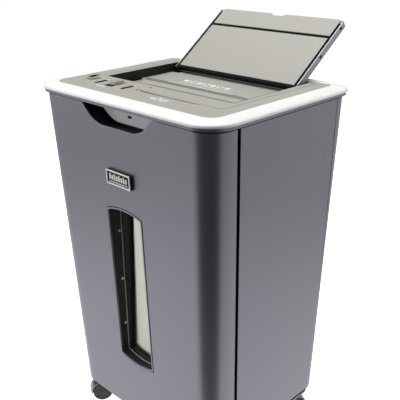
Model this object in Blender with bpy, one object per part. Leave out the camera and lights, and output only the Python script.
"""Office paper shredder on casters, with a pull-out bin and a folding feed lid, one object per piece.

Metres, +Z up, the front faces -Y, the wheels stand on z = 0. The lid stands open, the bin is shut.
"""

import math

import bmesh
import bpy
from mathutils import Matrix, Vector

for old in list(bpy.data.objects):
    bpy.data.objects.remove(old, do_unlink=True)

# ---------------------------------------------------------------- driving sizes
WIDTH = 0.430  # over the rim
DEPTH = 0.335  # over the rim
TOP = 0.658  # deck plane above the floor
GAP = 0.0003  # air left between pieces that meet
WALL = 0.003  # cabinet plastic
LEAN_X = 0.036  # side walls lean in by this much per metre of height, each
LEAN_Y = 0.031  # front and back walls lean in, likewise
BODY_INSET = 0.0073  # cabinet walls stand in from the rim
HALF_X = WIDTH / 2 - BODY_INSET
HALF_Y = DEPTH / 2 - BODY_INSET
FRONT_R = 0.041
REAR_R = 0.0275
CORNER_STEPS = 6

RIM_BAND = 0.0275
RIM_DROP = 0.007
SKIRT_BOTTOM = 0.0152  # below the deck plane
SEAM = 0.0018

FRONT_FOOT = 0.057  # lower edge of the bin front
SIDE_FOOT = 0.075  # lower edge of side and rear walls
WRAP_END = 0.0495  # bin front reaches this far back round the corners
SEAM_GROOVE = 0.0065
REAR_SEAM_Y = HALF_Y - 0.0332

RECESS_X = 0.148
RECESS_FRONT = -0.054
RECESS_REAR = 0.1115
RECESS_DEPTH = 0.016
RECESS_WALL = 0.0015
RAMP_START = 0.013  # the rear ramp starts this far below the deck plane
RAMP_END_Y = 0.129

SLOT_Y = 0.005
SLOT_HALF = 0.114
SLOT_GAP = 0.006
CHANNEL_WIDE = 0.022
CHANNEL_DEEP = 0.0040
CARD_Y = -0.0946
CARD_X0 = -0.014
CARD_X1 = 0.113
CARD_GAP = 0.005

LID_HALF = 0.1425
LID_FRONT = -0.0515
LID_REAR = 0.1105
LID_THICK = 0.011
LID_SKIN = 0.0025
HINGE_Y = 0.1068
HINGE_DROP = 0.0068
LID_OPEN = math.radians(144)
PIN_R = 0.0015

KNOB_X = -0.152
KNOB_Y = -0.084
KNOB_R = 0.0115
SLIDER_X = -0.0865
SLIDER_Y = -0.084
SLIDER_WIDE = 0.0135
SLIDER_LONG = 0.022
SLIDER_TRAVEL = 0.007
BAR_WIDE = 0.0045
BAR_LONG = 0.022
BAR_DEEP = 0.0018
BAR_Y = -0.0918
BAR_LEFT_X = -0.1195
BAR_RIGHT_X = -0.0516

SCOOP_TOP_HALF = 0.086
SCOOP_LOW_HALF = 0.055
SCOOP_BOTTOM = 0.046
POCKET_REACH = 0.0275

WINDOW_HALF = 0.045
WINDOW_TOP = 0.181
WINDOW_SILL = 0.1685  # above the floor
WINDOW_BOTTOM = TOP - WINDOW_SILL
WINDOW_RISE = 0.0075
TRIM_WIDE = 0.003
PANE_Y = -HALF_Y + 0.0337
REVEAL_END = PANE_Y + 0.0197

BADGE_HALF = 0.0293
BADGE_HIGH = 0.0245
BADGE_DROP = 0.128  # badge middle below the deck plane

WHEEL_R = 0.020
BASE_Z = 2 * WHEEL_R + 0.020
BASE_THICK = 0.004
FRAME_X = HALF_X - 0.0357
FRAME_FRONT = -HALF_Y + 0.0652
FRAME_REAR = HALF_Y - 0.0352
SHEET = 0.0015
HEAD_FLOOR = TOP - 0.158
HEAD_X = HALF_X - 0.0177
HEAD_FRONT = -HALF_Y + 0.0362
HEAD_REAR = HALF_Y - 0.0202

ROLL_Z = HEAD_FLOOR + 0.053
ROLL_SPACING = 0.025
DISC_R = 0.016
CORE_R = 0.0078
DISCS = 12
DISC_PITCH = 0.0184
SHAFT_R = 0.006
PLATE_X = 0.1205
PLATE_THICK = 0.003
PLATE_RISE = 0.033  # cutter plates above the rolls' axes

WHEEL_WIDE = 0.009
WHEEL_SPLIT = 0.003  # half the gap between the twin wheels
AXLE_R = 0.003
TRAIL = 0.013
CASTER_X = HALF_X - 0.0587
CASTER_Y = HALF_Y - 0.0542
CASTERS = {"front_left": (-1, -1, 150), "front_right": (1, -1, 62), "rear_left": (-1, 1, 108),
           "rear_right": (1, 1, 330)}


# ---------------------------------------------------------------- plain helpers
def colour(name, rgb, rough=0.5, metal=0.0):
    material = bpy.data.materials.get(name) or bpy.data.materials.new(name)
    material.use_nodes = True
    shader = material.node_tree.nodes["Principled BSDF"]
    shader.inputs["Base Color"].default_value = (*rgb, 1)
    shader.inputs["Roughness"].default_value = rough
    shader.inputs["Metallic"].default_value = metal
    return material


BODY_GREY = colour("body_grey", (0.20, 0.195, 0.22), 0.42)
BEIGE = colour("beige", (0.48, 0.47, 0.43), 0.55)
SILVER = colour("silver_rim", (0.83, 0.84, 0.82), 0.35)
BLACK = colour("black", (0.018, 0.018, 0.020), 0.5)
STEEL = colour("steel", (0.55, 0.55, 0.56), 0.35, 1.0)
BRIGHT = colour("bright", (0.75, 0.75, 0.74), 0.2, 1.0)
GEAR_WHITE = colour("gear_nylon", (0.7, 0.69, 0.64), 0.5)
CLEAR = colour("clear", (0.75, 0.78, 0.76), 0.08)
RUBBER = colour("rubber", (0.03, 0.03, 0.03), 0.7)
BOARD = colour("board", (0.03, 0.16, 0.07), 0.5)


def body(name, points, faces, material, origin=(0, 0, 0)):
    """One closed object from points in world metres, its origin moved onto `origin`, round parts smooth."""
    mesh = bpy.data.meshes.new(name)
    at = Vector(origin)
    mesh.from_pydata([Vector(p) - at for p in points], [], faces)
    work = bmesh.new()
    work.from_mesh(mesh)
    bmesh.ops.remove_doubles(work, verts=work.verts, dist=1e-7)
    bmesh.ops.recalc_face_normals(work, faces=work.faces)
    work.to_mesh(mesh)
    work.free()
    thing = bpy.data.objects.new(name, mesh)
    thing.location = at
    bpy.context.collection.objects.link(thing)
    if material:
        mesh.materials.append(material)
    mesh.shade_smooth()
    mesh.set_sharp_from_angle(angle=math.radians(35))
    return thing


def loft(name, rings, material, looped=False, **more):
    """Skin over rings of equal length; looped joins the last ring to the first, else both ends are capped."""
    count = len(rings[0])
    points = [p for ring in rings for p in ring]
    faces = []
    steps = len(rings) if looped else len(rings) - 1
    for row in range(steps):
        below = row * count
        above = (row + 1) % len(rings) * count
        for i in range(count):
            j = (i + 1) % count
            faces.append((below + i, below + j, above + j, above + i))
    if not looped:
        faces.append(tuple(range(count)))
        faces.append(tuple(range(len(points) - count, len(points))))
    return body(name, points, faces, material, **more)


def box(name, x, y, z, material=None, **more):
    low = [(x[0], y[0]), (x[1], y[0]), (x[1], y[1]), (x[0], y[1])]
    return loft(name, [[(a, b, z[0]) for a, b in low], [(a, b, z[1]) for a, b in low]], material, **more)


def along(axis, flat, depth):
    """A point of a flat outline put at `depth` along axis X, Y or Z."""
    u, v = flat
    return {"X": (depth, u, v), "Y": (u, depth, v), "Z": (u, v, depth)}[axis]


def prism(name, axis, outline, a, b, material=None, **more):
    return loft(name, [[along(axis, p, d) for p in outline] for d in (a, b)], material, **more)


def circle(u, v, r, steps):
    turn = 2 * math.pi / steps
    return [(u + r * math.cos(turn * i), v + r * math.sin(turn * i)) for i in range(steps)]


def rod(name, axis, u, v, r, a, b, material=None, steps=16, **more):
    return prism(name, axis, circle(u, v, r, steps), a, b, material, **more)


def turned(name, u, v, profile, material, steps=20, **more):
    """A shape turned about a line along X through (u, v); profile is (x, radius) pairs, closed by end caps."""
    rings = [[along("X", p, x) for p in circle(u, v, r, steps)] for x, r in profile]
    return loft(name, rings, material, **more)


def boolean(thing, other, kind="DIFFERENCE"):
    step = thing.modifiers.new(kind.lower(), "BOOLEAN")
    step.operation = kind
    step.object = other
    step.solver = "EXACT"
    other.hide_render = True
    other.display_type = "WIRE"
    return thing


def cut(thing, *others):
    for other in others:
        boolean(thing, other)
    return thing


def join(thing, *others):
    for other in others:
        boolean(thing, other, "UNION")
    return thing


def corner_box(half_x, y0, y1, r_front, r_rear, steps=CORNER_STEPS, middle_x=0.0):
    """Plan of a rectangle with rounded corners, starting at the front right and going round by the rear."""
    centres = [(1, y0 + r_front, r_front, -90), (1, y1 - r_rear, r_rear, 0), (-1, y1 - r_rear, r_rear, 90),
               (-1, y0 + r_front, r_front, 180)]
    outline = []
    for side, cy, r, start in centres:
        for i in range(steps + 1):
            a = math.radians(start + 90 * i / steps)
            outline.append((middle_x + side * (half_x - r) + r * math.cos(a), cy + r * math.sin(a)))
    return outline


def wall_ring(z, inset=0.0):
    """Plan of the leaning cabinet wall at height z."""
    fall = TOP - z
    half_x = HALF_X - LEAN_X * fall - inset
    half_y = HALF_Y - LEAN_Y * fall - inset
    return [(x, y, z) for x, y in corner_box(half_x, -half_y, half_y, FRONT_R - inset, REAR_R - inset)]


def rim_ring(drop, inset):
    radius = BODY_INSET
    plan = corner_box(WIDTH / 2 - inset, -DEPTH / 2 + inset, DEPTH / 2 - inset, FRONT_R + radius - inset,
                      REAR_R + radius - inset)
    return [(x, y, TOP - drop) for x, y in plan]


def front_y(z):
    return -HALF_Y + LEAN_Y * (TOP - z)


def front_prism(name, outline, near, far, material=None, **more):
    """An x, z outline between two sheets that run along the leaning front, near and far behind it."""
    rings = [[(x, front_y(z) + d, z) for x, z in outline] for d in (near, far)]
    return loft(name, rings, material, **more)


def wall_shell(name, foot):
    top = TOP - SKIRT_BOTTOM - SEAM
    rings = [wall_ring(foot), wall_ring(top), wall_ring(top, WALL), wall_ring(foot, WALL)]
    return loft(name, rings, BODY_GREY, looped=True)


# ---------------------------------------------------------------- head: rim, skirt, deck
rim_section = [(RIM_DROP + 0.0012, 0.0006), (RIM_DROP - 0.001, 0.0), (0.0042, 0.0008), (0.0026, 0.0036),
               (0.0012, 0.0095), (0.0002, 0.019), (0.0, RIM_BAND), (0.003, RIM_BAND), (RIM_DROP + 0.0012, 0.012)]
top_rim = loft("top_rim", [rim_ring(drop, inset) for drop, inset in rim_section], SILVER, looped=True)

skirt_top = RIM_DROP + 0.0012 + GAP
skirt_section = [(skirt_top, 0.0022), (SKIRT_BOTTOM - 0.002, 0.0042), (SKIRT_BOTTOM, 0.0066),
                 (SKIRT_BOTTOM, 0.0120), (skirt_top, 0.0120)]
head_skirt = loft("head_skirt", [rim_ring(d, i) for d, i in skirt_section], BODY_GREY, looped=True)


def scoop_outline(grow, top_drop, steps=5):
    """Hand hold in the front: slanted sides, rounded lower corners; grow widens it all round."""
    low = TOP - SCOOP_BOTTOM - grow
    top = TOP - top_drop
    r = 0.016 + grow
    slope = math.atan2(SCOOP_BOTTOM - SKIRT_BOTTOM, SCOOP_TOP_HALF - SCOOP_LOW_HALF)
    reach = r * math.tan(slope / 2)
    half = SCOOP_LOW_HALF + grow * math.tan(slope / 2)
    rise = (top - low) / math.tan(slope)
    right = [(half + rise, top)]
    for i in range(steps + 1):
        a = -math.pi / 2 + slope * (1 - i / steps)
        right.append((half - reach + r * math.cos(a), low + r + r * math.sin(a)))
    return right + [(-x, z) for x, z in reversed(right)]


apron_y0 = front_y(TOP - SCOOP_BOTTOM) + POCKET_REACH + GAP
apron = prism("cut_apron", "Y", scoop_outline(0.004, SKIRT_BOTTOM - 0.0015), apron_y0, apron_y0 + 0.003)
ledge = box("cut_ledge", (-0.092, 0.092), (-DEPTH / 2 + 0.0100, apron_y0 + 0.003),
            (TOP - SKIRT_BOTTOM + 0.0002, TOP - SKIRT_BOTTOM + 0.0026))
latch_hole = box("cut_latch_hole", (-0.0045, 0.0045), (apron_y0 - 0.002, apron_y0 + 0.005),
                 (TOP - 0.0285, TOP - 0.0245))
join(head_skirt, ledge, apron)
cut(head_skirt, latch_hole)

deck_inset = RIM_BAND + GAP
deck_plan = [(x, y) for x, y, _ in rim_ring(0, deck_inset)]
deck_panel = prism("deck_panel", "Z", deck_plan, TOP - 0.003, TOP - 0.0002, BEIGE)
room = RECESS_WALL + GAP
cut(deck_panel, box("cut_deck_recess", (-RECESS_X - room, RECESS_X + room),
                    (RECESS_FRONT - room, RAMP_END_Y + room), (TOP - 0.01, TOP + 0.01)),
    box("cut_card_slot", (CARD_X0, CARD_X1), (CARD_Y - CARD_GAP / 2, CARD_Y + CARD_GAP / 2),
        (TOP - 0.01, TOP + 0.01)),
    rod("cut_knob_hole", "Z", KNOB_X, KNOB_Y, 0.0048, TOP - 0.01, TOP + 0.01, steps=20),
    box("cut_slider_slot", (SLIDER_X - 0.0035, SLIDER_X + 0.0035),
        (SLIDER_Y - SLIDER_LONG / 2 - SLIDER_TRAVEL, SLIDER_Y + SLIDER_LONG / 2), (TOP - 0.01, TOP + 0.01)),
    box("cut_bar_left", (BAR_LEFT_X - BAR_WIDE / 2, BAR_LEFT_X + BAR_WIDE / 2),
        (BAR_Y - BAR_LONG / 2, BAR_Y + BAR_LONG / 2), (TOP - BAR_DEEP, TOP + 0.01)),
    box("cut_bar_right", (BAR_RIGHT_X - BAR_WIDE / 2, BAR_RIGHT_X + BAR_WIDE / 2),
        (BAR_Y - BAR_LONG / 2, BAR_Y + BAR_LONG / 2), (TOP - BAR_DEEP, TOP + 0.01)))

# ---------------------------------------------------------------- recess that takes the lid, feed floor
recess_low = TOP - RECESS_DEPTH - 0.0045
recess_walls = box("recess_walls", (-RECESS_X - RECESS_WALL, RECESS_X + RECESS_WALL),
                   (RECESS_FRONT - RECESS_WALL, RAMP_END_Y + RECESS_WALL), (recess_low, TOP - 0.0004), BLACK)
recess_profile = [(RECESS_FRONT, TOP + 0.02), (RECESS_FRONT, recess_low - 0.01),
                  (RECESS_REAR, recess_low - 0.01), (RECESS_REAR, TOP - RAMP_START),
                  (RAMP_END_Y, TOP - 0.0002), (RAMP_END_Y, TOP + 0.02)]
hinge_z = TOP - HINGE_DROP
cut(recess_walls, prism("cut_recess", "X", recess_profile, -RECESS_X, RECESS_X),
    rod("cut_pin_holes", "X", HINGE_Y, hinge_z, PIN_R + 0.0003, -0.16, 0.16, steps=16))

floor_top = TOP - RECESS_DEPTH
feed_floor = box("feed_floor", (-RECESS_X + GAP, RECESS_X - GAP), (RECESS_FRONT + GAP, RECESS_REAR - GAP),
                 (floor_top - 0.0045, floor_top), BEIGE)
funnel = [(SLOT_Y - CHANNEL_WIDE / 2, floor_top + 0.002), (SLOT_Y - CHANNEL_WIDE / 2, floor_top - 0.0004),
          (SLOT_Y - SLOT_GAP / 2, floor_top - CHANNEL_DEEP), (SLOT_Y - SLOT_GAP / 2, floor_top - 0.02),
          (SLOT_Y + SLOT_GAP / 2, floor_top - 0.02), (SLOT_Y + SLOT_GAP / 2, floor_top - CHANNEL_DEEP),
          (SLOT_Y + CHANNEL_WIDE / 2, floor_top - 0.0004), (SLOT_Y + CHANNEL_WIDE / 2, floor_top + 0.002)]
cut(feed_floor, prism("cut_funnel", "X", funnel, -SLOT_HALF, SLOT_HALF),
    box("cut_corner_notch", (-RECESS_X - 0.001, -RECESS_X + 0.016), (RECESS_REAR - 0.014, RECESS_REAR + 0.001),
        (floor_top - 0.01, floor_top + 0.01)))

# ---------------------------------------------------------------- paper guide and card chute below the slots
guide_top = floor_top - 0.0045 - GAP
guide_low = ROLL_Z + DISC_R + 0.003
paper_guide = box("paper_guide", (-0.1195, 0.1195), (SLOT_Y - 0.009, SLOT_Y + 0.009), (guide_low, guide_top),
                  BLACK)
RAMP_TOP = 0.0085  # card ramp starts this far below the deck plane
RAMP_FRONT = CARD_Y - 0.010
RAMP_THICK = 0.0025
CHEEK = 0.0025
ramp_back = SLOT_Y - 0.009 - GAP
ramp_fall = (TOP - RAMP_TOP - (guide_low + 0.006)) / (ramp_back - RAMP_FRONT)


def ramp_z(y):
    """Upper face of the ramp that leads a card from its slot back to the paper guide."""
    return TOP - RAMP_TOP - ramp_fall * (y - RAMP_FRONT)


def ramp_path(name, low, high, y0, y1, x0, x1, material=None):
    outline = [(y0, ramp_z(y0) + low), (y1, ramp_z(y1) + low), (y1, ramp_z(y1) + high),
               (y0, ramp_z(y0) + high)]
    return prism(name, "X", outline, x0, x1, material)


card_chute = ramp_path("card_chute", -RAMP_THICK * 1.5, 0.0045, RAMP_FRONT, ramp_back, CARD_X0 - CHEEK - 0.001,
                       CARD_X1 + CHEEK + 0.001, BLACK)
cut(card_chute, ramp_path("cut_ramp", 0.0, 0.02, RAMP_FRONT - 0.01, ramp_back + 0.01, CARD_X0 - 0.001,
                          CARD_X1 + 0.001))
cut(paper_guide, box("cut_guide_slot", (-SLOT_HALF, SLOT_HALF), (SLOT_Y - SLOT_GAP / 2, SLOT_Y + SLOT_GAP / 2),
                     (guide_low - 0.01, guide_top + 0.01)),
    box("cut_guide_card", (CARD_X0, CARD_X1), (SLOT_Y - 0.02, SLOT_Y), (guide_low + 0.0055, guide_low + 0.020)))

# ---------------------------------------------------------------- cabinet walls
far = 0.5
seam_near = WRAP_END
seam_far = WRAP_END + SEAM_GROOVE


def side_clip(name, sign):
    """The part of the wall ring between the two upright seams on one side."""
    rings = []
    for z in (0.0, 1.0):
        y0 = front_y(z) + seam_far
        corners = [(0.0, y0), (sign * far, y0), (sign * far, REAR_SEAM_Y), (0.0, REAR_SEAM_Y)]
        rings.append([(x, y, z) for x, y in corners])
    return loft(name, rings, None)


for side, sign in (("left", -1), ("right", 1)):
    panel = wall_shell(f"side_panel_{side}", SIDE_FOOT)
    boolean(panel, side_clip(f"cut_side_{side}", sign), "INTERSECT")

rear_cover = wall_shell("rear_cover", SIDE_FOOT)
boolean(rear_cover, box("cut_rear_clip", (-far, far), (REAR_SEAM_Y + 0.0012, far), (0.0, 1.0)), "INTERSECT")
VENTS = 6
VENT_PITCH = 0.011
VENT_HALF = 0.055
VENT_HIGH = 0.0045
for i in range(VENTS):
    vent_z = HEAD_FLOOR + VENT_PITCH * i
    cut(rear_cover, box(f"cut_vent_{i}", (-VENT_HALF, VENT_HALF), (HALF_Y - 0.06, HALF_Y + 0.04),
                        (vent_z, vent_z + VENT_HIGH)))
GLAND_X = -0.120
GLAND_Z = 0.125
GLAND_R = 0.0075
gland_y = -front_y(GLAND_Z)
cut(rear_cover, rod("cut_gland_hole", "Y", GLAND_X, GLAND_Z, GLAND_R + 0.0006, gland_y - 0.06, gland_y + 0.04,
                    steps=20))

# ---------------------------------------------------------------- bin front with hand hold, badge and window
bin_front = wall_shell("bin_front", FRONT_FOOT)
front_clip = loft("cut_front_clip", [[(-far, -far, z), (far, -far, z), (far, front_y(z) + seam_near, z),
                                      (-far, front_y(z) + seam_near, z)] for z in (0.0, 1.0)], None)
boolean(bin_front, front_clip, "INTERSECT")


def window_outline(grow, steps=8):
    """Tall window: straight sides, top and bottom bowed outwards."""
    half = WINDOW_HALF + grow
    high = TOP - WINDOW_TOP + grow
    low = TOP - WINDOW_BOTTOM - grow
    bow = [(half * (1 - 2 * i / steps), WINDOW_RISE * (1 - (1 - 2 * i / steps) ** 2)) for i in range(steps + 1)]
    return [(x, high - WINDOW_RISE + b) for x, b in bow] + [(-x, low + WINDOW_RISE - b) for x, b in bow]


opening_y = (-HALF_Y - 0.14, -HALF_Y + 0.0402)
cut(bin_front, prism("cut_scoop", "Y", scoop_outline(0.0, SKIRT_BOTTOM - 0.004), *opening_y),
    prism("cut_window", "Y", window_outline(0.0), *opening_y))

pocket_y0 = front_y(TOP - SCOOP_BOTTOM) + WALL + GAP
pocket_top = SKIRT_BOTTOM + SEAM + 0.0006
handle_pocket = prism("handle_pocket", "Y", scoop_outline(0.0070, pocket_top), pocket_y0,
                      front_y(TOP - SCOOP_BOTTOM) + POCKET_REACH - 0.0005, BLACK)
cut(handle_pocket, prism("cut_pocket", "Y", scoop_outline(0.0050, 0.0), -0.2, 0.0))

badge_z = TOP - BADGE_DROP
plate = [(BADGE_HALF, badge_z - BADGE_HIGH / 2), (BADGE_HALF, badge_z + BADGE_HIGH / 2),
         (-BADGE_HALF, badge_z + BADGE_HIGH / 2), (-BADGE_HALF, badge_z - BADGE_HIGH / 2)]
front_prism("badge_base", plate, -0.0045, -GAP, BLACK)
edge = 0.0028
opening = [(x - math.copysign(edge, x), z - math.copysign(edge, z - badge_z)) for x, z in plate]
badge_frame = front_prism("badge_frame", plate, -0.0060, -0.0045 - GAP, BRIGHT)
cut(badge_frame, front_prism("cut_badge", opening, -0.02, 0.0))

trim_out = window_outline(-GAP)
trim_in = window_outline(-TRIM_WIDE)
trim_rings = []
for outline, d in ((trim_out, WALL), (trim_out, -0.0010), (trim_in, -0.0004), (trim_in, WALL)):
    trim_rings.append([(x, front_y(z) + d, z) for x, z in outline])
loft("window_trim", trim_rings, SILVER, looped=True)

tube_out = window_outline(0.0008)
tube_in = window_outline(-TRIM_WIDE)
tube_tight = window_outline(-TRIM_WIDE - 0.0022)
reveal_rings = []
for outline, y in ((tube_out, None), (tube_out, REVEAL_END), (tube_tight, REVEAL_END), (tube_tight, PANE_Y),
                   (tube_in, PANE_Y), (tube_in, None)):
    reveal_rings.append([(x, front_y(z) + WALL + GAP if y is None else y, z) for x, z in outline])
loft("window_reveal", reveal_rings, BLACK, looped=True)
pane_outline = window_outline(-TRIM_WIDE - GAP)
window_pane = prism("window_pane", "Y", pane_outline, PANE_Y - 0.0018, PANE_Y - GAP, CLEAR)

SCREW_R = 0.0024
SCREW_Y = PANE_Y - 0.007
SCREW_DROPS = (WINDOW_TOP + 0.058, (WINDOW_TOP + WINDOW_BOTTOM) / 2 - 0.00375, WINDOW_BOTTOM - 0.0675)
screw_seat = WINDOW_HALF - TRIM_WIDE
for side, sign in (("left", -1), ("right", 1)):
    for number, drop in enumerate(SCREW_DROPS, 1):
        seat = sign * (screw_seat - GAP)
        profile = [(seat, SCREW_R), (seat - sign * 0.0009, SCREW_R), (seat - sign * 0.0016, SCREW_R * 0.55)]
        turned(f"reveal_screw_{side}_{number}", SCREW_Y, TOP - drop, profile, BRIGHT, steps=10)

# ---------------------------------------------------------------- drawer tray and liner bin
tray_floor = BASE_Z + BASE_THICK + 0.0055
tray_front = front_y(tray_floor) + WALL + GAP + 0.0004
TRAY_X = FRAME_X - 0.014
TRAY_REAR = HALF_Y - 0.0422
TRAY_TOP = tray_floor + 0.0605
TRAY_WALL = 0.0025
RUNNER_Z = tray_floor + 0.0345
RUNNER_HALF = 0.007
RUNNER_REACH = 0.0085  # runners stand out from the tray
LINER_TOP = HEAD_FLOOR - 0.030
LINER_HALF = TRAY_X - 0.008
LINER_FRONT = REVEAL_END + 0.0018
LINER_REAR = TRAY_REAR - 0.008
LINER_WALL = 0.002
LINER_TAPER = 0.010  # each side, top to foot
TRAY_R = 0.016
tray_plan = corner_box(TRAY_X, tray_front, TRAY_REAR, TRAY_R, TRAY_R, 3)
tray_room = corner_box(TRAY_X - TRAY_WALL, tray_front + TRAY_WALL, TRAY_REAR - TRAY_WALL, TRAY_R - TRAY_WALL,
                       TRAY_R - TRAY_WALL, 3)
drawer_tray = prism("drawer_tray", "Z", tray_plan, tray_floor, TRAY_TOP, BLACK)
cut(drawer_tray, prism("cut_tray", "Z", tray_room, tray_floor + 0.003, TRAY_TOP + 0.01),
    box("cut_tray_front", (-WINDOW_HALF, WINDOW_HALF), (tray_front - 0.01, tray_front + 0.01),
        (TRAY_TOP - 0.012, TRAY_TOP + 0.01)))
for side, sign in (("left", -1), ("right", 1)):
    inner = sorted((sign * (TRAY_X - 0.001), sign * (TRAY_X + RUNNER_REACH)))
    join(drawer_tray, box(f"cut_runner_{side}", inner, (FRAME_FRONT + 0.010, TRAY_REAR - 0.006),
                          (RUNNER_Z - RUNNER_HALF, RUNNER_Z + RUNNER_HALF)))

liner_low = tray_floor + 0.003 + GAP
foot_half = LINER_HALF - LINER_TAPER
liner_outer = [(foot_half, LINER_FRONT + 0.0005, LINER_REAR - 0.006, liner_low),
               (LINER_HALF, LINER_FRONT, LINER_REAR, LINER_TOP)]
liner_rings = []
for half, y0, y1, z in liner_outer:
    liner_rings.append([(x, y, z) for x, y in corner_box(half, y0, y1, 0.012, 0.012, 3)])
for half, y0, y1, z in reversed(liner_outer):
    inner = corner_box(half - LINER_WALL, y0 + LINER_WALL, y1 - LINER_WALL, 0.010, 0.010, 3)
    liner_rings.append([(x, y, z if z == LINER_TOP else z + LINER_WALL) for x, y in inner])
loft("liner_bin", liner_rings, BEIGE)

# ---------------------------------------------------------------- inner frame, base, rails
BASE_INSET = 0.0048  # base plate edge inside the leaning walls at the foot
PAD_DROP = 0.0015  # raised pad in the middle of the underside
PAD_HALF_Y = 0.085
PAD_R = 0.012
PAD_CLEAR = 0.008  # pad edge to the nearest swivelled wheel
base_x = HALF_X - LEAN_X * (TOP - BASE_Z) - BASE_INSET
base_y = HALF_Y - LEAN_Y * (TOP - BASE_Z) - BASE_INSET
base_plan = corner_box(base_x, -base_y, base_y, FRONT_R - BASE_INSET, REAR_R - BASE_INSET)
base_plate = prism("base_plate", "Z", base_plan, BASE_Z, BASE_Z + BASE_THICK, BODY_GREY)
pad_x = CASTER_X - TRAIL - WHEEL_R - PAD_CLEAR
pad_plan = corner_box(pad_x, -PAD_HALF_Y, PAD_HALF_Y, PAD_R, PAD_R, 3)
join(base_plate, prism("pad", "Z", pad_plan, BASE_Z - PAD_DROP, BASE_Z + BASE_THICK / 2))
for name, (sx, sy, _) in CASTERS.items():
    cut(base_plate, rod(f"cut_stem_{name}", "Z", sx * CASTER_X, sy * CASTER_Y, 0.0053, 0.0, 0.1))
for side, sign in (("left", -1), ("right", 1)):
    sheet_x = sorted((sign * FRAME_X, sign * (FRAME_X - SHEET)))
    box(f"frame_{side}", sheet_x, (FRAME_FRONT, FRAME_REAR), (BASE_Z + BASE_THICK + GAP, HEAD_FLOOR - GAP), BLACK)
    rail_in = TRAY_X + 0.0012
    rail_out = FRAME_X - SHEET - GAP
    rail = box(f"rail_{side}", sorted((sign * rail_in, sign * rail_out)),
               (FRAME_FRONT + 0.003, FRAME_REAR - 0.005),
               (RUNNER_Z - RUNNER_HALF - 0.003, RUNNER_Z + RUNNER_HALF + 0.003), STEEL)
    cut(rail, box(f"cut_rail_{side}", sorted((sign * (rail_in - 0.01), sign * (TRAY_X + RUNNER_REACH + 0.0008))),
                  (-0.2, 0.2), (RUNNER_Z - RUNNER_HALF - 0.0006, RUNNER_Z + RUNNER_HALF + 0.0006)))

head_top = TOP - RECESS_DEPTH - 0.0095
head_chassis = box("head_chassis", (-HEAD_X, HEAD_X), (HEAD_FRONT, HEAD_REAR), (HEAD_FLOOR, head_top), BLACK)
cut(head_chassis, box("cut_chassis", (-HEAD_X + 0.002, HEAD_X - 0.002), (HEAD_FRONT + 0.002, HEAD_REAR - 0.002),
                      (HEAD_FLOOR + 0.002, TOP)),
    box("cut_chassis_drop", (-0.117, 0.117), (SLOT_Y - 0.034, SLOT_Y + 0.034), (HEAD_FLOOR - 0.01, TOP)))

# ---------------------------------------------------------------- cutter block
front_axis = (SLOT_Y - ROLL_SPACING / 2, ROLL_Z)
rear_axis = (SLOT_Y + ROLL_SPACING / 2, ROLL_Z)
MESH_A = 14  # teeth of each timing gear
MESH_B = 28  # teeth of the drive gear
MESH_C = 14  # teeth of the small layshaft gear
MESH_D = 36  # teeth of the large layshaft gear
MESH_E = 12  # teeth of the motor pinion
MODULE_A = ROLL_SPACING / MESH_A
MODULE_B = 0.00175
MODULE_D = 0.00125
lay_axis = (rear_axis[0] + MODULE_B * (MESH_B + MESH_C) / 2, ROLL_Z)
motor_axis = (lay_axis[0] + MODULE_D * (MESH_D + MESH_E) / 2, ROLL_Z)

for side, sign in (("left", -1), ("right", 1)):
    ends = sorted((sign * PLATE_X, sign * (PLATE_X + PLATE_THICK)))
    plate_y = (SLOT_Y - 0.036, motor_axis[0] + 0.012)
    cutter_plate = box(f"cutter_plate_{side}", ends, plate_y, (HEAD_FLOOR + 0.002 + GAP, ROLL_Z + PLATE_RISE), STEEL)
    for tag, (u, v) in (("front", front_axis), ("rear", rear_axis)):
        cut(cutter_plate, rod(f"cut_bearing_{side}_{tag}", "X", u, v, SHAFT_R + 0.0004, -0.2, 0.2))
    if sign > 0:
        cut(cutter_plate, rod("cut_lay_hole", "X", *lay_axis, 0.0045, -0.2, 0.2),
            rod("cut_motor_hole", "X", *motor_axis, 0.0045, -0.2, 0.2))

plane_a = (0.1275, 0.1345)
plane_b = (0.1365, 0.1445)
plane_c = (0.1465, 0.1525)


def roll(name, axis, shift, left_end, right_end):
    """A cutter roll: a shaft with round blades; the two rolls' blades pass between one another."""
    half_disc = 0.0038
    profile = [(left_end, SHAFT_R), (-0.1165, SHAFT_R), (-0.1165, CORE_R)]
    for i in range(DISCS):
        middle = (i - (DISCS - 1) / 2) * DISC_PITCH + shift
        for x, r in ((-half_disc, CORE_R), (-half_disc, DISC_R), (half_disc, DISC_R), (half_disc, CORE_R)):
            profile.append((middle + x, r))
    profile += [(0.1165, CORE_R), (0.1165, SHAFT_R), (right_end, SHAFT_R)]
    return turned(name, *axis, profile, STEEL, steps=10, origin=(0, *axis))


roll("cutter_roll_front", front_axis, -DISC_PITCH / 4, -0.1275, plane_a[1] + 0.001)
roll("cutter_roll_rear", rear_axis, DISC_PITCH / 4, -0.1275, plane_b[1] + 0.001)


def gear_outline(axis, teeth, module, phase):
    """Straight-flanked teeth about a pitch circle; phase 0 puts a tooth on +Y."""
    pitch = module * teeth / 2
    step = 2 * math.pi / teeth
    outline = []
    for i in range(teeth):
        a = phase + i * step
        for part, r in ((-0.27, pitch - 1.1 * module), (-0.11, pitch + 0.85 * module),
                        (0.11, pitch + 0.85 * module), (0.27, pitch - 1.1 * module)):
            b = a + part * step
            outline.append((axis[0] + r * math.cos(b), axis[1] + r * math.sin(b)))
    return outline


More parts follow.
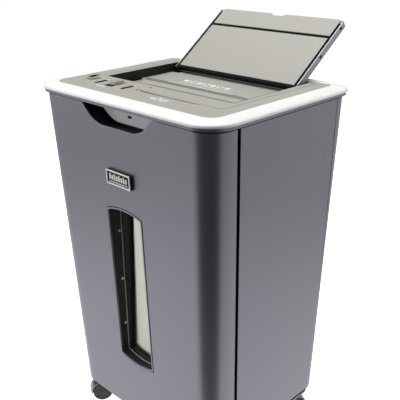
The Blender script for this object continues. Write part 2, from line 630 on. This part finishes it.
def gear(name, axis, teeth, module, phase, plane, bore, material=GEAR_WHITE):
    """A gear as a ring: the bore has as many points as the teeth outline, so both skin together."""
    outline = gear_outline(axis, teeth, module, phase)
    hole = []
    for u, v in outline:
        length = math.hypot(u - axis[0], v - axis[1])
        hole.append((axis[0] + (u - axis[0]) * bore / length, axis[1] + (v - axis[1]) * bore / length))
    rings = [[along("X", p, plane[0]) for p in outline], [along("X", p, plane[1]) for p in outline],
             [along("X", p, plane[1]) for p in hole], [along("X", p, plane[0]) for p in hole]]
    return loft(name, rings, material, looped=True, origin=(0, *axis))


bore = SHAFT_R + 0.0004
half_tooth = math.pi / MESH_A
gear("timing_gear_front", front_axis, MESH_A, MODULE_A, 0.0, plane_a, bore)
gear("timing_gear_rear", rear_axis, MESH_A, MODULE_A, math.pi + half_tooth, plane_a, bore)
gear("drive_gear", rear_axis, MESH_B, MODULE_B, 0.0, plane_b, bore)

lay_gear = turned("lay_gear", *lay_axis, [(0.1185, 0.004), (0.1535, 0.004)], GEAR_WHITE, steps=16,
                  origin=(0, *lay_axis))
join(lay_gear, prism("cut_lay_small", "X", gear_outline(lay_axis, MESH_C, MODULE_B, math.pi + math.pi / MESH_C),
                     plane_b[0], plane_c[0]),
     prism("cut_lay_large", "X", gear_outline(lay_axis, MESH_D, MODULE_D, 0.0), plane_b[1] + 0.0006, plane_c[1]))
motor_pinion = turned("motor_pinion", *motor_axis, [(0.1188, 0.004), (plane_c[1] + 0.001, 0.004)], STEEL,
                      steps=16, origin=(0, *motor_axis))
join(motor_pinion, prism("cut_pinion", "X", gear_outline(motor_axis, MESH_E, MODULE_D,
                                                         math.pi + math.pi / MESH_E), plane_c[0], plane_c[1]))
turned("motor", *motor_axis, [(-0.004, 0.010), (0.0, 0.010), (0.0, 0.026), (0.088, 0.026), (0.088, 0.0295),
                              (0.118, 0.0295)], STEEL, steps=20)

for tag, (u, v), sign in (("front", front_axis, -1), ("rear", rear_axis, 1)):
    bar_y = sorted((u + sign * (DISC_R + 0.0015), u + sign * (DISC_R + 0.0065)))
    bar = box(f"stripper_{tag}", (-PLATE_X + GAP, PLATE_X - GAP), bar_y, (ROLL_Z - 0.010, ROLL_Z - 0.004), STEEL)
    for i in range(DISCS - 1):
        middle = (i - (DISCS - 2) / 2) * DISC_PITCH + sign * DISC_PITCH / 4
        tooth = sorted((u + sign * (CORE_R + 0.0030), u + sign * (DISC_R + 0.003)))
        join(bar, box(f"cut_tooth_{tag}_{i}", (middle - 0.003, middle + 0.003), tooth,
                      (ROLL_Z - 0.0085, ROLL_Z - 0.0055)))

box("control_board", (-HEAD_X + 0.008, -HEAD_X + 0.055), (HEAD_REAR - 0.080, HEAD_REAR - 0.010),
    (HEAD_FLOOR + 0.006, HEAD_FLOOR + 0.018), BOARD)
box("bin_switch", (-FRAME_X + SHEET + GAP, -FRAME_X + 0.012), (FRAME_FRONT + 0.003, FRAME_FRONT + 0.025),
    (HEAD_FLOOR - 0.045, HEAD_FLOOR - 0.022), BLACK)
gland = rod("cord_gland", "Y", GLAND_X, GLAND_Z, GLAND_R, gland_y - 0.012, gland_y + 0.004, BLACK, steps=20)
join(gland, rod("cut_gland_flange", "Y", GLAND_X, GLAND_Z, 0.011, gland_y + 0.0010, gland_y + 0.0035, steps=20))
cut(gland, rod("cut_gland_bore", "Y", GLAND_X, GLAND_Z, 0.0036, gland_y - 0.1, gland_y + 0.1, steps=16))

# ---------------------------------------------------------------- lid, modelled shut and then turned open
hinge = (0.0, HINGE_Y, hinge_z)


def lid_plan(half, y_front, y_rear, r_front, notch=True):
    """Plan of a lid layer with rounded front corners and a shallow finger notch in the free edge."""
    edge = [(0.030, 0.0), (0.024, 0.0012), (0.018, 0.0042), (0.012, 0.0052)] if notch else []
    dip = [(-x, d) for x, d in edge] + [(x, d) for x, d in reversed(edge)]
    outline = [(x, y_front + d) for x, d in dip]
    for i in range(5):
        a = math.radians(-90 + 90 * i / 4)
        outline.append((half - r_front + r_front * math.cos(a), y_front + r_front + r_front * math.sin(a)))
    outline += [(half, y_rear), (-half, y_rear)]
    for i in range(5):
        a = math.radians(180 + 90 * i / 4)
        outline.append((-half + r_front + r_front * math.cos(a), y_front + r_front + r_front * math.sin(a)))
    return outline


lid_low = TOP - LID_THICK
SIDE_WALL = 0.002
LID_DIVIDE = LID_REAR - 0.735 * (LID_REAR - LID_FRONT)
DIVIDE_GAP = 0.0025
PLATE_GAP = 0.003
lid_shell = prism("lid_shell", "Z", lid_plan(LID_HALF, LID_FRONT, LID_REAR, 0.007), lid_low, TOP, BODY_GREY,
                  origin=hinge)
cavity = LID_HALF - SIDE_WALL
cut(lid_shell, box("cut_lid_cavity", (-cavity, cavity), (LID_FRONT + 0.008, LID_REAR - SIDE_WALL),
                   (lid_low - 0.01, TOP - LID_SKIN)),
    prism("cut_lid_edge", "Z", lid_plan(cavity, LID_FRONT - 0.010, LID_FRONT + 0.012, 0.0002, False),
          lid_low - 0.01, lid_low + 0.0023),
    rod("cut_lid_pin", "X", HINGE_Y, hinge_z, PIN_R + 0.0004, -0.2, 0.2, steps=16))
for share in (0.48, 0.90):
    hole_y = LID_REAR + share * (LID_FRONT - LID_REAR)
    cut(lid_shell, rod(f"cut_side_hole_{share:.2f}", "X", hole_y, TOP - 0.0062, 0.0019, -0.2, 0.2, steps=10))
for i, rib_x in enumerate((-0.07, 0.0, 0.07)):
    join(lid_shell, box(f"cut_rib_{i}", (rib_x - 0.001, rib_x + 0.001), (LID_FRONT + 0.007, HINGE_Y - 0.006),
                        (lid_low + 0.0020 + GAP, TOP - LID_SKIN + 0.001)))
plate_half = cavity - PLATE_GAP
box("lid_plate_lower", (-plate_half, plate_half), (LID_DIVIDE + DIVIDE_GAP / 2, LID_REAR - SIDE_WALL - 0.001),
    (lid_low, lid_low + 0.0018), BEIGE, origin=hinge)
prism("lid_plate_upper", "Z", lid_plan(plate_half, LID_FRONT + 0.0002, LID_DIVIDE - DIVIDE_GAP / 2, 0.004),
      lid_low, lid_low + 0.0018, BEIGE, origin=hinge)
rod("lid_hinge_pin", "X", HINGE_Y, hinge_z, PIN_R, -RECESS_X - RECESS_WALL, RECESS_X + RECESS_WALL, STEEL,
    steps=10)
turn = Matrix.Translation(hinge) @ Matrix.Rotation(-LID_OPEN, 4, "X") @ Matrix.Translation(-Vector(hinge))
for thing in list(bpy.data.objects):
    if thing.name in ("lid_shell", "lid_plate_lower", "lid_plate_upper"):
        thing.rotation_euler = (-LID_OPEN, 0, 0)
    if thing.name.startswith(("cut_lid", "cut_side_hole", "cut_rib")):
        thing.matrix_world = turn @ thing.matrix_world

# ---------------------------------------------------------------- knob and slider
knob_at = (KNOB_X, KNOB_Y, TOP)
knob = rod("selector_knob", "Z", KNOB_X, KNOB_Y, 0.0042, TOP - 0.008, TOP + 0.002, BEIGE, steps=20,
           origin=knob_at)
join(knob, prism("cut_knob_disc", "Z", circle(KNOB_X, KNOB_Y, KNOB_R, 28), TOP + 0.0003, TOP + 0.0030),
     box("cut_knob_grip", (KNOB_X - 0.0022, KNOB_X + 0.0022), (KNOB_Y - 0.0108, KNOB_Y + 0.0108),
         (TOP + 0.0025, TOP + 0.0085)))
slider = box("mode_slider", (SLIDER_X - SLIDER_WIDE / 2, SLIDER_X + SLIDER_WIDE / 2),
             (SLIDER_Y - SLIDER_LONG / 2, SLIDER_Y + SLIDER_LONG / 2), (TOP + 0.0003, TOP + 0.0055), BEIGE,
             origin=(SLIDER_X, SLIDER_Y, TOP))
join(slider, box("cut_slider_foot", (SLIDER_X - 0.003, SLIDER_X + 0.003),
                 (SLIDER_Y - SLIDER_LONG / 2 + 0.001, SLIDER_Y + SLIDER_LONG / 2 - 0.001),
                 (TOP - 0.006, TOP + 0.001)))

# ---------------------------------------------------------------- casters
hood_r = WHEEL_R + 0.0016
hood_wall = 0.0022
hood_half = WHEEL_SPLIT + WHEEL_WIDE
web_half = WHEEL_SPLIT - 0.0007


def hood_outline(r_in, r_out, start, end, steps=9):
    """An arc band about the axle seen from the side."""
    arc = [math.radians(start + (end - start) * i / steps) for i in range(steps + 1)]
    return ([(r_out * math.cos(a), WHEEL_R + r_out * math.sin(a)) for a in arc]
            + [(r_in * math.cos(a), WHEEL_R + r_in * math.sin(a)) for a in reversed(arc)])


for name, (sx, sy, angle) in CASTERS.items():
    place = (sx * CASTER_X, sy * CASTER_Y, 0)
    heading = Matrix.Translation(place) @ Matrix.Rotation(math.radians(angle), 4, "Z")
    to_axle = Matrix.Translation((0, TRAIL, 0))
    hood = prism(f"caster_hood_{name}", "X", hood_outline(hood_r, hood_r + hood_wall, 5, 190), -hood_half,
                 hood_half, BODY_GREY)
    web_arc = hood_outline(0.0, hood_r + 0.001, 20, 170)
    web = prism(f"cut_web_{name}", "X", [p for p in web_arc if math.hypot(p[0], p[1] - WHEEL_R) > 0.001]
                + [(-0.008, WHEEL_R - 0.006), (0.008, WHEEL_R - 0.006)], -web_half, web_half)
    stem = rod(f"cut_stem_post_{name}", "Z", 0, -TRAIL, 0.005, WHEEL_R + 0.012, BASE_Z + BASE_THICK - 0.0005)
    collar = rod(f"cut_collar_{name}", "Z", 0, -TRAIL, 0.0085, WHEEL_R + 0.0155, BASE_Z - 0.0006)
    well = prism(f"cut_well_{name}", "X", circle(0, WHEEL_R, hood_r, 28), -0.05, 0.05)
    bored = rod(f"cut_axle_{name}", "X", 0, WHEEL_R, AXLE_R + 0.0005, -0.05, 0.05, steps=12)
    cut(join(hood, collar, stem), well)
    cut(join(hood, web), bored)
    wheel_profile = [(-hood_half, WHEEL_R - 0.0012), (-hood_half + 0.0012, WHEEL_R),
                     (-WHEEL_SPLIT, WHEEL_R), (-WHEEL_SPLIT, AXLE_R), (WHEEL_SPLIT, AXLE_R),
                     (WHEEL_SPLIT, WHEEL_R),
                     (hood_half - 0.0012, WHEEL_R), (hood_half, WHEEL_R - 0.0012)]
    wheel = turned(f"caster_wheel_{name}", 0, WHEEL_R, wheel_profile, RUBBER, steps=22)
    wheel.data.transform(Matrix.Translation((0, 0, -WHEEL_R)))
    wheel.matrix_world = heading @ to_axle @ Matrix.Translation((0, 0, WHEEL_R))
    hood.data.transform(to_axle)
    hood.matrix_world = heading
    for piece in (web, stem, collar, well, bored):
        piece.matrix_world = heading @ to_axle

# ---------------------------------------------------------------- frame: origin under the middle of the whole
rear_most = HINGE_Y + (HINGE_Y - LID_FRONT) * -math.cos(LID_OPEN) + HINGE_DROP * math.sin(LID_OPEN)
shift = Matrix.Translation((0, (DEPTH / 2 - rear_most) / 2, 0))
bpy.context.view_layer.update()
for thing in list(bpy.data.objects):
    thing.matrix_world = shift @ thing.matrix_world
